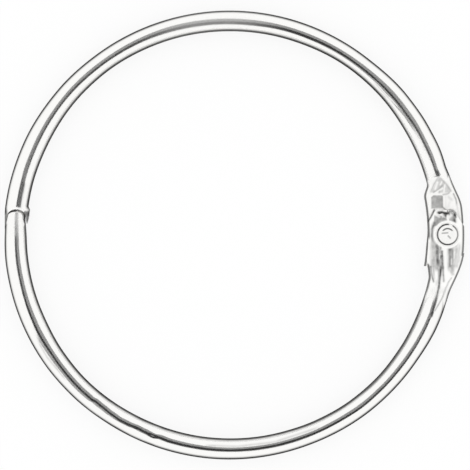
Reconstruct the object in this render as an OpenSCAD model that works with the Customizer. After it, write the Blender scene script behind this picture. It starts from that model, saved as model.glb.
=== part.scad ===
// Hinged snap ring for hanging a shower curtain.
// Two half rings are rolled from plated sheet steel, with an open seam along the inside of the
// ring. At the hinge the lower half is a fork of two flat cheeks joined by a fold along their
// outer side, and the upper half is a tongue of two walls pressed together. A rivet holds the
// tongue between the cheeks. At the far side the swaged nose of the lower half pushes into the
// scooped mouth of the upper half.
// The ring lies flat. Its centre is the origin, +Z is up, the hinge is at +X and the snap at -X.
// All sizes are in millimetres, and angles in degrees.

/* [Ring] */
// Clear diameter inside the closed ring
inside_d = 76; // [60:1:110]
// Outside diameter of the rolled tube
tube_d = 4.1; // [3.8:0.1:4.6]
// Thickness of the sheet
sheet_t = 0.45; // [0.35:0.01:0.5]
// Width of the open seam
seam_gap = 0.3; // [0.1:0.05:0.6]

/* [Hinge plates] */
// Distance from the tube's centre line inwards to the free edge of the tongue
tongue_in = 2.85; // [2.7:0.05:3.2]
// How much further in the tail's inner corner stands
tail_flare = 0.15; // [0:0.05:0.3]
// Distance from the tube's centre line inwards to the free edges of the cheeks
cheek_in = 2.7; // [2.5:0.05:2.9]
// Distance from the tube's centre line outwards to the fork's fold
fork_out = 4; // [3.7:0.05:4.4]
// Length of the tongue's tail past the rivet
tail_len = 5.9; // [4.5:0.1:6.3]
// Corner radius at the outer end of the tail
tail_r = 1.6; // [0.8:0.1:2]
// Distance above the rivet at which the tongue starts to swell into the tube
tongue_flat = 7.7; // [7:0.1:9]
// Length of that swelling
tongue_ramp = 3.2; // [2.6:0.1:5]
// Distance below the rivet at which the fork starts to swell into the tube
fork_flat = 7; // [6.8:0.1:8]
// Length of that swelling
fork_ramp = 7.6; // [5:0.1:9]
// Radius of the two lobes at the end of each cheek
lobe_r = 1; // [0.8:0.1:1.1]
// How far the inner lobe's centre lies inwards from the rivet
inner_lobe_in = 1.6; // [1.4:0.1:1.9]
// Distance above the rivet of that centre
inner_lobe_up = 3.7; // [3.4:0.1:3.9]
// How far the outer lobe's centre lies outwards from the rivet
outer_lobe_out = 0.6; // [0.4:0.1:0.9]
// Distance above the rivet of that centre
outer_lobe_up = 3.5; // [3.2:0.1:3.7]
// Distance above the rivet at which the cheeks' inner edges lean over to the lobe
cheek_shoulder = 2.3; // [1.8:0.1:2.6]
// Distance above the rivet at which the cheeks' outer edges lean over to the lobe
fold_shoulder = 1.2; // [0.8:0.1:1.6]
// Width of the slit that the press tore below the lobes
slit_w = 0.36; // [0.2:0.02:0.4]
// Length of that slit
slit_len = 1.6; // [1:0.1:1.8]
// Distance above the rivet of the slit
slit_up = 3.95; // [3.8:0.05:4]
// How far outwards from the rivet the slit comes out between the lobes
slit_out = 0; // [-0.4:0.1:0.1]
// Distance below the rivet down to which the fork's fold is cut open
fold_cut = 3.5; // [3.3:0.1:4.2]
// Gap left between the tongue's two pressed walls
press_gap = 0.1; // [0.04:0.01:0.16]
// Clearance between the tongue and each cheek
cheek_play = 0.06; // [0.04:0.01:0.15]
// Clearance between the tail's outer edge and the fork's fold
fold_play = 0.15; // [0.1:0.01:0.3]

/* [Rivet] */
// Distance of the rivet outwards from the tube's centre line
rivet_out = 0.6; // [0.3:0.05:0.8]
// Diameter of the shank
shank_d = 2.4; // [1.8:0.1:2.8]
// Clearance round the shank in the tongue's bore
pin_play = 0.05; // [0.02:0.01:0.1]
// Diameter of both heads
head_d = 4; // [3.6:0.1:4.6]
// Height of each head
head_h = 0.52; // [0.4:0.02:0.6]
// Radius that rounds the rim of each head
head_edge = 0.3; // [0.1:0.05:0.35]
// Diameter of the set mark in the middle of each head
mark_d = 1.9; // [1.2:0.1:2.2]
// Depth of the set mark
mark_h = 0.16; // [0.08:0.02:0.24]
// Diameter of the raised seat on each cheek, under the head
seat_d = 5.3; // [4.9:0.1:5.6]
// Height of the raised seat
seat_h = 0.1; // [0.06:0.02:0.16]

/* [Snap] */
// Angle from the hinge, over the upper half, at which the mouth's rim ends
rim_angle = 177.8; // [176:0.1:179]
// Width of the mouth across the ring's plane
mouth_w = 4.55; // [4.5:0.05:4.8]
// How far the mouth and the nose are set towards the inside of the ring
snap_in = 0.18; // [0:0.01:0.2]
// Length over which the tube widens to the mouth
mouth_len = 9; // [6:0.5:14]
// Slant of the rim, as a distance along the tube for each millimetre across it
slant = 0.27; // [0:0.01:0.3]
// Depth of the scoops in the front and back of the rim
scoop_depth = 3.2; // [2.5:0.1:4]
// Width of the scoops where their rounded bottoms end
scoop_w = 3.3; // [2.8:0.1:3.4]
// Width of the scoops at the rim
scoop_rim_w = 4.05; // [4:0.01:4.1]
// Radius of the scoops' rounded bottoms
scoop_r = 2; // [1.8:0.1:3]
// Length of the nose from the rim to its tip
nose_len = 8.6; // [7.5:0.1:9]
// Distance from the bottom of the scoops over which the neck stays straight
neck_len = 1.2; // [1:0.1:1.4]
// Diameter of the hollow tip of the nose
tip_d = 2.1; // [1.7:0.1:2.3]
// Clearance between the neck and the inside of the mouth
neck_play = 0.22; // [0.2:0.01:0.25]
// Length past the rim over which the full tube starts to narrow
shoulder_len = 2.4; // [2.2:0.1:3]
// Gap between the bottom of the scoops and the step up from the neck
step_gap = 0.1; // [0.05:0.01:0.2]
// Length of that step
step_len = 0.6; // [0.4:0.1:1]

/* [Hidden] */
$fn = 72;
tube_r = tube_d / 2;
ring_r = inside_d / 2 + tube_r;
deg_per_mm = 180 / (PI * ring_r);
rivet_x = ring_r + rivet_out;

// Half thicknesses of the tongue and of the fork
tongue_h = sheet_t + press_gap / 2;
fork_slot_h = tongue_h + cheek_play;
fork_h = fork_slot_h + sheet_t;
tongue_out = fork_out - sheet_t - fold_play;

// The outer side bulges between these distances from the rivet, measured along the tube
bulge_near = 2.5;
bulge_far = 13;
tongue_bulge_near = 5;
tongue_bulge_far = 12.5;
// Below the rivet the tail starts to flare and the cheeks start to narrow at these distances
tail_flare_from = 3;
cheek_straight = 3.5;

// Share of the pressing at which the walls are flat, and from which the inner side opens
flat_done = 0.7;
tongue_opens = 0.3;
cheek_opens = 0.6;

// Points on one skin of half a section: all of them, those on the outer fold, and those up to
// the end of the flat
half_steps = 12;
fold_steps = 4;
flat_steps = 8;
// Distance between sections along the tube, where its shape changes and where it stays
short_step = 0.8;
long_step = 1.6;
// Overlap of a swept end with the turned tube, and how far it lies inside that tube's sheet
join_len = 0.6;
join_inset = 0.03;
// Length between the last change of shape and the turned tube
join_space = 0.2;
// How far a cut reaches past what it cuts, and how tall a cut through the whole piece is
cut_over = 1;
cut_h = 2 * tube_d;
tube_fn = 40;
rivet_fn = 40;
mark_fn = 6 * rivet_fn;

steel = [0.80, 0.80, 0.78];
plate = [0.74, 0.74, 0.72];
rivet_steel = [0.66, 0.66, 0.65];

function mix(a, b, k) = a + (b - a) * k;
function ease(a, b, x) = let (t = min(1, max(0, (x - a) / (b - a)))) t * t * (3 - 2 * t);

// A point at s along the tube's centre line from the hinge, u outwards from it and z above it
function on_ring(s, u, z) =
    let (a = s * deg_per_mm, r = ring_r + u) [r * cos(a), r * sin(a), z];

// A section of the rolled sheet lies between its outer reach and its inner reach, and between
// +half_h and -half_h. It is an oval at flat = 0 and has flat walls and round sides at flat = 1.
// At ear = 1 its inner side is open, with straight free edges. Lean slants the section along
// the tube, and bow bends it round its middle.
function section(s, out, in, half_h, flat, ear, inset = 0, lean = 0, bow = 0) =
    [s, out, in, half_h, flat, ear, inset, lean, bow];

function along(sec, u) =
    let (v = u - (sec[1] - sec[2]) / 2) sec[0] + sec[7] * u + sec[8] * v * v;

function seam_angle(h, inset) = asin(min(1, (seam_gap / 2 + inset) / h));

// Point i on one half of a skin that lies d inside the outer surface, from the outer side (0)
// to the seam
function oval_point(sec, d, i) =
    let (
        w = (sec[1] + sec[2]) / 2 - d,
        h = sec[3] - d,
        a = (180 - seam_angle(h, sec[6])) * i / half_steps
    ) [(sec[1] - sec[2]) / 2 + w * cos(a), h * sin(a)];

function flat_point(sec, d, i) =
    let (
        fold_u = sec[1] - sec[3],
        bend_u = sec[3] - sec[2],
        h = sec[3] - d
    )
    i <= fold_steps
        ? let (a = 90 * i / fold_steps) [fold_u + h * cos(a), h * sin(a)]
        : i <= flat_steps
            ? [mix(fold_u, bend_u, (i - fold_steps) / (flat_steps - fold_steps)), h]
            : let (
                k = (i - flat_steps) / (half_steps - flat_steps),
                a = 90 + (90 - seam_angle(h, sec[6])) * k
              )
              mix([bend_u + h * cos(a), h * sin(a)], [mix(bend_u, -sec[2], k), h], sec[5]);

function skin_point(sec, d, i) = mix(oval_point(sec, d, i), flat_point(sec, d, i), sec[4]);

// One skin of a section, from the front seam edge round the outer side to the back seam edge
function skin(sec, d) = [
    for (j = [-half_steps : half_steps])
        let (p = skin_point(sec, d, abs(j)), z = j < 0 ? p[1] : -p[1])
            on_ring(along(sec, p[0]), p[0], z)
];

function section_points(sec) =
    concat(skin(sec, sec[6]), skin(sec, sheet_t - sec[6]));

// Sweeps the sheet through a list of sections
module rolled_sheet(sections) {
    row = 2 * half_steps + 1;
    ring = 2 * row;
    last = len(sections) - 1;
    // The corners of quad cells, each as two triangles
    function quad(a, b, c, d) = [[a, b, c], [a, c, d]];
    walls = [
        for (n = [0 : last - 1], i = [0 : row - 2])
            let (p = n * ring + i, q = p + ring)
                each concat(
                    quad(p, q, q + 1, p + 1),
                    quad(p + row, p + row + 1, q + row + 1, q + row)
                )
    ];
    seam_edges = [
        for (n = [0 : last - 1])
            let (p = n * ring, q = p + ring, e = row - 1)
                each concat(
                    quad(p, p + row, q + row, q),
                    quad(p + e, q + e, q + e + row, p + e + row)
                )
    ];
    ends = [
        for (i = [0 : row - 2])
            let (p = i, q = last * ring + i)
                each concat(
                    quad(p, p + 1, p + 1 + row, p + row),
                    quad(q, q + row, q + 1 + row, q + 1)
                )
    ];
    polyhedron(
        points = [for (sec = sections) each section_points(sec)],
        faces = concat(walls, seam_edges, ends),
        convexity = 6
    );
}

// The turned part of a half ring, between two angles
module rolled_tube(from_angle, to_angle) {
    rotate([0, 0, from_angle])
        rotate_extrude(angle = to_angle - from_angle)
            translate([ring_r, 0])
                difference() {
                    circle(r = tube_r, $fn = tube_fn);
                    circle(r = tube_r - sheet_t, $fn = tube_fn);
                    translate([-tube_r - cut_over, -seam_gap / 2])
                        square([tube_r + cut_over, seam_gap]);
                }
}

module at_rivet() {
    translate([rivet_x, 0, 0]) children();
}

// Distances along the tube between two limits, both included, about one step apart
function stations(a, b, step) =
    let (n = max(1, round((b - a) / step))) [for (i = [0 : n]) mix(a, b, i / n)];

/* Upper half */
tongue_root = tongue_flat + tongue_ramp;
upper_join = max(tongue_root, tongue_bulge_far) + join_space;
mouth_join = rim_angle / deg_per_mm - mouth_len;
tail_reach = tail_len + cut_over;

function fork_side(s) = mix(tube_r, fork_out, 1 - ease(bulge_near, bulge_far, -s));

function tongue_side(s) =
    s < 0
        ? fork_side(s) - sheet_t - fold_play
        : mix(tube_r, tongue_out, 1 - ease(tongue_bulge_near, tongue_bulge_far, s));

function tongue_section(s) =
    let (press = 1 - min(1, max(0, (s - tongue_flat) / tongue_ramp)))
        section(
            s,
            tongue_side(s),
            mix(tube_r, tongue_in, 1 - ease(tongue_flat, tongue_root, s))
                + tail_flare * ease(tail_flare_from, tail_len, -s),
            mix(tube_r, tongue_h, press),
            ease(0, flat_done, press),
            ease(tongue_opens, 1, press),
            s > upper_join ? join_inset : 0,
            -tan(s * deg_per_mm) * ease(0, 1, press)
        );

module tongue() {
    rolled_sheet([
        for (s = concat(
            stations(-tail_reach, tongue_flat - short_step, long_step),
            stations(tongue_flat, upper_join + join_inset, short_step),
            [upper_join + join_len]
        )) tongue_section(s)
    ]);
}

// What is cut away past the end of the tail: all below it, and its outer corner
module tail_trim() {
    inner_x = ring_r - 2 * tongue_in;
    corner_x = on_ring(-tail_len, tongue_side(-tail_len), 0)[0] - tail_r;
    width = corner_x - inner_x;
    below = 2 * cut_over;
    linear_extrude(height = cut_h, center = true)
        difference() {
            translate([inner_x, -tail_len - below])
                square([width + tail_r + cut_over, below + tail_r]);
            translate([inner_x, -tail_len]) square([width, tail_r + cut_over]);
            translate([corner_x, -tail_len + tail_r]) circle(r = tail_r);
        }
}

module mouth() {
    rim = rim_angle / deg_per_mm;
    rolled_sheet([
        for (s = concat(
            [mouth_join - join_len],
            stations(mouth_join - join_inset, rim, long_step)
        ))
            let (
                flare = ease(mouth_join, rim - scoop_depth, s),
                w = mix(tube_r, mouth_w / 2, flare)
            )
                section(
                    s, w - snap_in * flare, w + snap_in * flare, tube_r, 0, 0,
                    s < mouth_join ? join_inset : 0,
                    slant * flare
                )
    ]);
}

// The scoops are one cut through the mouth from front to back
module scoop() {
    bottom = scoop_r - scoop_depth;
    round_end = bottom - sqrt(scoop_r * scoop_r - scoop_w * scoop_w / 4);
    flare = (scoop_rim_w - scoop_w) / -round_end / 2;
    far = tube_r;
    rotate([0, 0, rim_angle])
        translate([ring_r - snap_in, 0, 0])
            linear_extrude(height = cut_h, center = true) {
                intersection() {
                    translate([0, bottom]) circle(r = scoop_r);
                    translate([-scoop_w / 2, -2 * scoop_depth])
                        square([scoop_w, 2 * scoop_depth + round_end]);
                }
                polygon([
                    [-scoop_w / 2, round_end],
                    [scoop_w / 2, round_end],
                    [scoop_rim_w / 2 + flare * far, far],
                    [-scoop_rim_w / 2 - flare * far, far]
                ]);
            }
}

module upper_half() {
    color(steel)
        difference() {
            union() {
                rolled_tube(upper_join * deg_per_mm, mouth_join * deg_per_mm);
                tongue();
                mouth();
            }
            tail_trim();
            scoop();
            at_rivet() cylinder(d = shank_d + 2 * pin_play, h = cut_h, center = true);
        }
}

/* Lower half, whose distances along the tube are negative */
fork_root = fork_flat + fork_ramp;
lower_join = max(fork_root, bulge_far) + join_space;
lower_rim = rim_angle / deg_per_mm - 360 / deg_per_mm;
neck_r = mouth_w / 2 - sheet_t - neck_play;
neck_h = tube_r - sheet_t - neck_play;
nose_join = lower_rim + shoulder_len + 2 * join_space;
neck_top = lower_rim - scoop_depth - neck_len;
scoop_bow = 1 / (2 * scoop_r);
cheek_reach = max(inner_lobe_up, outer_lobe_up) + lobe_r;

function fork_section(s) =
    let (press = 1 - min(1, max(0, (-s - fork_flat) / fork_ramp)))
        section(
            s,
            fork_side(s),
            mix(tube_r, cheek_in, 1 - ease(cheek_straight, fork_flat + short_step, -s)),
            mix(tube_r, fork_h, press),
            ease(0, flat_done, press),
            ease(cheek_opens, 1, press),
            -s > lower_join ? join_inset : 0
        );

module fork() {
    rolled_sheet([
        for (s = concat(
            [-lower_join - join_len],
            stations(-lower_join - join_inset, -fork_flat, short_step),
            stations(-fork_flat + short_step, cheek_reach + cut_over, long_step)
        )) fork_section(s)
    ]);
}

// Runs from the gap between the lobes inwards along the inner lobe
module slit() {
    translate([slit_out - slit_len, slit_up - slit_w / 2]) square([slit_len, slit_w]);
    translate([slit_out - slit_len, slit_up]) circle(d = slit_w);
    translate([slit_out, slit_up]) circle(d = slit_w);
    translate([slit_out - slit_w / 4, slit_up]) square([slit_w / 2, cheek_reach]);
}

// Leaves two lobes at the cheeks' ends and opens the fold beside the rivet
module fork_trim() {
    at_rivet() {
        linear_extrude(height = cut_h, center = true)
            difference() {
                translate([-2 * fork_out, fold_shoulder])
                    square([4 * fork_out, 2 * cheek_reach]);
                difference() {
                    hull() {
                        translate([-inner_lobe_in, inner_lobe_up]) circle(r = lobe_r);
                        translate([outer_lobe_out, outer_lobe_up]) circle(r = lobe_r);
                        polygon([
                            [-cheek_in - rivet_out, 0],
                            [-cheek_in - rivet_out, cheek_shoulder],
                            [fork_out - rivet_out, fold_shoulder],
                            [fork_out - rivet_out, 0]
                        ]);
                    }
                    slit();
                }
            }
        translate([0, -fold_cut, -fork_slot_h])
            cube([2 * fork_out, fold_cut + 2 * cheek_reach, 2 * fork_slot_h]);
    }
}

module seats() {
    for (side = [0, 1])
        mirror([0, 0, side])
            at_rivet()
                translate([0, 0, fork_h - sheet_t / 2])
                    cylinder(d1 = seat_d + sheet_t, d2 = seat_d, h = sheet_t / 2 + seat_h);
}

// The nose stands in the mouth. Its neck steps up along the bottom of the scoops, and the part
// between the scoops' sides narrows towards them.
module nose() {
    tip = lower_rim - nose_len;
    foot = lower_rim - scoop_depth + step_gap;
    rolled_sheet([
        for (s = concat(
            stations(tip, neck_top, short_step),
            stations(foot - neck_len / 2, foot, neck_len / 4),
            stations(foot + step_len / 4, foot + step_len, step_len / 4),
            stations(foot + step_len + short_step, nose_join + join_inset, short_step),
            [nose_join + join_len]
        ))
            let (
                swage = 1 - ease(foot, lower_rim + shoulder_len, s),
                step = 1 - ease(foot, foot + step_len, s),
                taper = max(0, (neck_top - s) / (neck_top - tip)),
                point = taper * taper,
                w = mix(mix(tube_r, neck_r, swage), tip_d / 2, point),
                h = mix(mix(tube_r, neck_h, step), tip_d / 2, point),
                bend = ease(neck_top, foot, s) * (1 - ease(foot + step_len, lower_rim, s))
            )
                section(
                    s, w - snap_in * swage, w + snap_in * swage, h, 0, 0,
                    s > nose_join ? join_inset : 0, 0, scoop_bow * bend
                )
    ]);
}

module lower_half() {
    color(plate)
        difference() {
            union() {
                rolled_tube(nose_join * deg_per_mm, -lower_join * deg_per_mm);
                fork();
                nose();
                seats();
            }
            fork_trim();
            at_rivet() cylinder(d = shank_d, h = cut_h, center = true);
        }
}

/* Rivet */
// Half of the rivet's profile, from its middle to the top of its head
module rivet_profile() {
    seat_z = fork_h + seat_h;
    top_z = seat_z + head_h;
    difference() {
        union() {
            square([shank_d / 2, top_z]);
            translate([0, seat_z]) square([head_d / 2, head_h - head_edge]);
            translate([0, seat_z]) square([head_d / 2 - head_edge, head_h]);
            translate([head_d / 2 - head_edge, top_z - head_edge]) circle(r = head_edge, $fn = rivet_fn);
        }
        translate([0, top_z + mark_d * mark_d / (8 * mark_h) - mark_h / 2])
            circle(r = mark_d * mark_d / (8 * mark_h) + mark_h / 2, $fn = mark_fn);
    }
}

module hinge_rivet() {
    color(rivet_steel)
        at_rivet()
            for (side = [0, 1])
                mirror([0, 0, side]) rotate_extrude($fn = rivet_fn) rivet_profile();
}

upper_half();
lower_half();
hinge_rivet();
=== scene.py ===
import math

import bpy
import numpy as np
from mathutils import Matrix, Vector, noise
from mathutils.kdtree import KDTree


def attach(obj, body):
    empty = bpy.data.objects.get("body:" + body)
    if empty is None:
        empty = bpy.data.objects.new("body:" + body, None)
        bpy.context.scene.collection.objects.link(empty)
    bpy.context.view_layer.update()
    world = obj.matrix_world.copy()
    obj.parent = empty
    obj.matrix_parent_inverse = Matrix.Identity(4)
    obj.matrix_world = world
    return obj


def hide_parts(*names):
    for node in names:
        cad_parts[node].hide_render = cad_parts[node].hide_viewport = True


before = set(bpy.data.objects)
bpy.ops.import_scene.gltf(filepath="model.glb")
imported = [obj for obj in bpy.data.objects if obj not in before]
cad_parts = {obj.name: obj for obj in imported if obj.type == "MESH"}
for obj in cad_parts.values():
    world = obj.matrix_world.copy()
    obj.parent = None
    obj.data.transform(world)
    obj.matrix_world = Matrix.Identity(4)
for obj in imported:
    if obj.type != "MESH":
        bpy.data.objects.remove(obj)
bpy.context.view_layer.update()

# ---------------------------------------------------------------------------------------------
# Upper half ring. Sheet steel rolled into a tube with an open seam along its inner side, then
# nickel plated and buffed. One end is pressed flat into the tongue of the hinge, and the other
# is widened into a scooped mouth. It turns on the rivet.
# ---------------------------------------------------------------------------------------------
# Sizes in millimetres. Along the tube they are measured from the rivet, over the top of the
# ring, and across it from its centre line outwards.
MM = 0.001
tube_r = 2.05
ring_r = 38 + tube_r
sheet_t = 0.45
seam_gap = 0.3
rivet_x = ring_r + 0.6
deg_per_mm = 180 / (math.pi * ring_r)

press_gap = 0.1
tongue_h = sheet_t + press_gap / 2
cheek_play = 0.06
fork_slot_h = tongue_h + cheek_play
fork_h = fork_slot_h + sheet_t
fork_out = 3.93
fold_play = 0.15
tongue_out = fork_out - sheet_t - fold_play
tongue_in = 3.08
tongue_spread = 0.33
tongue_flat = 7.7
tongue_ramp = 3.2
tail_len = 5.9
tail_r = 1.6
tail_flare = 0.2

# The outer side bulges between these distances from the rivet, measured along the tube
bulge_near = 2.5
bulge_far = 13
tongue_bulge_near = 5
tongue_bulge_far = 12.5

rim_angle = 177.8
mouth_w = 4.55
mouth_len = 9
snap_in = 0.18
slant = 0.27
scoop_depth = 3.2
scoop_w = 3.3
scoop_rim_w = 4.05
scoop_r = 2

# Points on one half of a skin: all of them, those on the outer fold, and those up to the end
# of the flat wall
half_steps = 62
fold_steps = 10
flat_steps = 52

# Distances between sections along the plain tube, and where the sheet is pressed
tube_step = 0.9
press_step = 0.16

# What is painted on the sheet, point by point
paints = ("painted_edge_reflection", "dark", "dull", "haze")

# The painted reflection: a dark band painted along the tube's sides, in place of the dark that
# they reflect. It goes by the surface's level, which is 1 where it faces up. It starts at one
# level and is full at another, which a side's spread moves, and it fades low on the side. On the
# pressed plates it goes by the distance from their edge, as painted dark edges.
painted_edge_start = 0.7
painted_edge_full = 0.46
painted_edge_spread = 0.14
side_fade = 0.65
side_start = 0.26
side_full = 0.1
plate_painted_edge = 1.12
plate_painted_edge_start = 0.44
plate_painted_edge_full = 0.26

# Half heights of the cutters, and how far they reach to a side where nothing stops them
tail_cut_h = 2
scoop_cut_h = 4
past = 8

# The cap of a section that nothing cuts off
uncapped = 9


def mix(a, b, k):
    return a + (b - a) * k


def ease(a, b, x):
    """A smooth step from 0 at a to 1 at b, whichever of them is larger."""
    t = np.clip((x - a) / (b - a), 0, 1)
    return t * t * (3 - 2 * t)


def along(keys, x):
    """Value at x on a smooth curve through (x, value) pairs."""
    value = keys[0][1]
    for (x0, v0), (x1, v1) in zip(keys, keys[1:]):
        value = value + (v1 - v0) * ease(x0, x1, x)
    return value


def steps(a, b, size):
    """Evenly spaced values from a to b, about size apart."""
    count = max(1, round((b - a) / size))
    return [mix(a, b, i / count) for i in range(count + 1)]


def skin(sec, i, depth):
    """Points i on one half of the skins that lie depth inside the sheet's outer surface."""
    wide = (sec["out"] + sec["inner"]) / 2 - depth
    high = sec["high"] - depth
    gap = np.arcsin(np.minimum(1, seam_gap / 2 / high))
    angle = (math.pi - gap) * i / half_steps
    c, s = np.cos(angle), np.sin(angle)
    oval_u = (sec["out"] - sec["inner"]) / 2 + np.sign(c) * wide * abs(c) ** (2 / sec["power"])
    oval_u = np.minimum(oval_u, sec["cap"] - depth)
    oval_z = high * abs(s) ** (2 / sec["power"])

    fold_u, bend_u = sec["out"] - sec["high"], sec["high"] - sec["inner"]
    fold = math.pi / 2 * np.clip(i / fold_steps, 0, 1)
    flat = np.clip((i - fold_steps) / (flat_steps - fold_steps), 0, 1)
    edge = np.clip((i - flat_steps) / (half_steps - flat_steps), 0, 1)
    bend = math.pi / 2 + (math.pi / 2 - gap) * edge
    plate_u = mix(fold_u, bend_u, flat) + high * np.cos(fold)
    round_u = plate_u + high * np.cos(bend)
    free_u = mix(plate_u, -sec["inner"], edge)
    plate_z = high * np.sin(fold)
    plate_u = mix(round_u, free_u, sec["open"])
    plate_z = mix(plate_z * np.sin(bend), plate_z, sec["open"])
    return mix(oval_u, plate_u, sec["flat"]), mix(oval_z, plate_z, sec["flat"])


def on_ring(angle, u):
    """Plan point at an angle in degrees, u outwards of the tube's centre line."""
    a = np.radians(angle)
    return (ring_r + u) * np.cos(a), (ring_r + u) * np.sin(a)


def from_path(x, y, path):
    """Distance of each plan point (x, y) from a path of plan points."""
    nearest = np.full(x.shape, 1e3)
    for (x0, y0), (x1, y1) in zip(path, path[1:]):
        dx, dy = x1 - x0, y1 - y0
        k = np.clip(((x - x0) * dx + (y - y0) * dy) / (dx * dx + dy * dy), 0, 1)
        nearest = np.minimum(nearest, np.hypot(x - x0 - k * dx, y - y0 - k * dy))
    return nearest


def in_patch(x, y, corners):
    """Depth of each plan point (x, y) inside a convex patch, whose corners run anticlockwise."""
    inside = np.full(x.shape, 1e3)
    for (x0, y0), (x1, y1) in zip(corners, corners[1:] + corners[:1]):
        dx, dy = x1 - x0, y1 - y0
        inside = np.minimum(inside, ((y - y0) * dx - (x - x0) * dy) / math.hypot(dx, dy))
    return inside


def rumple(x, y, size, seed):
    """Smooth random height between -1 and 1 at each plan point, in humps of one size."""
    flat = [noise.noise(Vector((a / size, b / size, seed))) for a, b in zip(x.flat, y.flat)]
    return np.array(flat).reshape(x.shape)


def linked(name, data):
    """A new object in the scene."""
    obj = bpy.data.objects.new(name, data)
    bpy.context.scene.collection.objects.link(obj)
    return obj


def rolled_sheet(name, sections, press):
    """A closed mesh of the sheet swept through its sections. press tells for plan points how
    deep the tools marked the faces there, how dull they left the plate, and how dark it is painted,
    with painted shade and painted reflection among the marks. The outer skin is painted with both,
    with its painted dark edge reflection and its haze, and the inner skin is left bare."""
    sec = {key: np.array([one[key] for one in sections], float)[:, None] for key in sections[0]}
    j = np.arange(-half_steps, half_steps + 1)[None, :]
    side = np.where(j < 0, 1.0, -1.0)
    skins = []
    for depth in (0, sheet_t):
        u, z = skin(sec, abs(j), depth)
        mid = (sec["out"] - sec["inner"]) / 2
        u = u + sec["shift"] * (z / sec["high"]) ** 2
        z = z * side
        s = sec["s"] + sec["lean"] * u + sec["bow"] * (u - mid) ** 2
        x, y = on_ring(s * deg_per_mm, u)
        if depth == 0:
            sunk, dark, dull = press(x, y, sec)
            facing = ease(0.05, 0.5, abs(z) / sec["high"])
            z = z - side * sunk * facing
            # The free edges are rounded by the shears
            edge = sec["open"] * ease(edge_round, 0, u + sec["inner"])
            z = z - side * edge_drop * edge
            dark = dark * facing
            run, across = s, u
            from_out = sec["out"] - sec["cover_out"] - u
            from_in = u + sec["inner"] + sec["cover_in"]
            from_side = np.minimum(from_out, from_in)
            beside = plate_painted_edge * sec["flat"] * ease(plate_painted_edge_start, plate_painted_edge_full, from_side)
        skins.append(np.stack([x, y, z], axis=2))
    outer = skins[0]
    normal = np.cross(np.gradient(outer, axis=0), np.gradient(outer, axis=1))
    level = abs(normal[..., 2]) / np.maximum(np.linalg.norm(normal, axis=2), 1e-9)
    # Painted reflection: the dark band along the sides, and the dark edges of the pressed plates
    gain = np.where(across > mid, sec["film_out"], sec["film_in"])
    spread = painted_edge_spread * np.where(across > mid, sec["spread_out"], sec["spread_in"])
    slope = ease(painted_edge_start + spread, painted_edge_full + spread, level)
    slope = slope * (1 - side_fade * ease(side_start, side_full, level))
    painted_edge_reflection = np.maximum(slope, beside) * gain
    rows, row = len(sections), 2 * half_steps + 1
    index = np.arange(rows * row * 2).reshape(2, rows, row)
    a, b = index

    def quads(p, q, r, t):
        return np.stack([p, q, r, t], axis=-1).reshape(-1, 4)

    faces = np.concatenate([
        quads(a[:-1, :-1], a[:-1, 1:], a[1:, 1:], a[1:, :-1]),
        quads(b[:-1, :-1], b[1:, :-1], b[1:, 1:], b[:-1, 1:]),
        quads(a[:-1, 0], a[1:, 0], b[1:, 0], b[:-1, 0]),
        quads(a[:-1, -1], b[:-1, -1], b[1:, -1], a[1:, -1]),
        quads(a[0, :-1], b[0, :-1], b[0, 1:], a[0, 1:]),
        quads(a[-1, :-1], a[-1, 1:], b[-1, 1:], b[-1, :-1]),
    ])
    points = np.concatenate([p.reshape(-1, 3) for p in skins]) * MM
    mesh = bpy.data.meshes.new(name)
    mesh.from_pydata(points.tolist(), [], faces.tolist())
    bare = np.zeros(rows * row)
    for label, value in zip(paints, (painted_edge_reflection, dark, dull + 0 * painted_edge_reflection, sec["haze"] + 0 * painted_edge_reflection)):
        both = np.concatenate([value.ravel(), bare])
        mesh.attributes.new(label, "FLOAT", "POINT").data.foreach_set("value", both)
    grain = np.stack([run + 0 * across, across, abs(outer[..., 2])], axis=2).reshape(-1, 3)
    both = np.concatenate([grain, grain]).ravel()
    mesh.attributes.new("grain", "FLOAT_VECTOR", "POINT").data.foreach_set("vector", both)
    face_outwards(mesh)
    return linked(name, mesh)


def face_outwards(mesh):
    """Turns a closed mesh the right way out, by the sign of its volume."""
    mesh.calc_loop_triangles()
    tri = np.array([t.vertices[:] for t in mesh.loop_triangles])
    co = np.empty(len(mesh.vertices) * 3)
    mesh.vertices.foreach_get("co", co)
    p = co.reshape(-1, 3)[tri]
    if np.einsum("ij,ij->i", p[:, 0], np.cross(p[:, 1], p[:, 2])).sum() < 0:
        mesh.flip_normals()


def arc(centre, radius, start, end, count=24):
    """Points on an arc, between two angles in degrees."""
    angles = [math.radians(a) for a in np.linspace(start, end, count + 1)]
    return [(centre[0] + radius * math.cos(a), centre[1] + radius * math.sin(a)) for a in angles]


def with_modifiers(obj):
    """A new mesh of the object with its modifiers applied."""
    graph = bpy.context.evaluated_depsgraph_get()
    return bpy.data.meshes.new_from_object(obj.evaluated_get(graph))


def paint_like(mesh, old):
    """Gives each point of a cut mesh the paint of the nearest point before the cut, because the
    corners that a cut makes have none."""
    count = len(old.vertices)
    near = KDTree(count)
    for i, point in enumerate(old.vertices):
        near.insert(point.co, i)
    near.balance()
    source = [near.find(point.co)[1] for point in mesh.vertices]
    for label in paints:
        value = np.empty(count)
        old.attributes[label].data.foreach_get("value", value)
        mesh.attributes[label].data.foreach_set("value", value[source])
    grain = np.empty(count * 3)
    old.attributes["grain"].data.foreach_get("vector", grain)
    mesh.attributes["grain"].data.foreach_set("vector", grain.reshape(-1, 3)[source].ravel())


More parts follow.
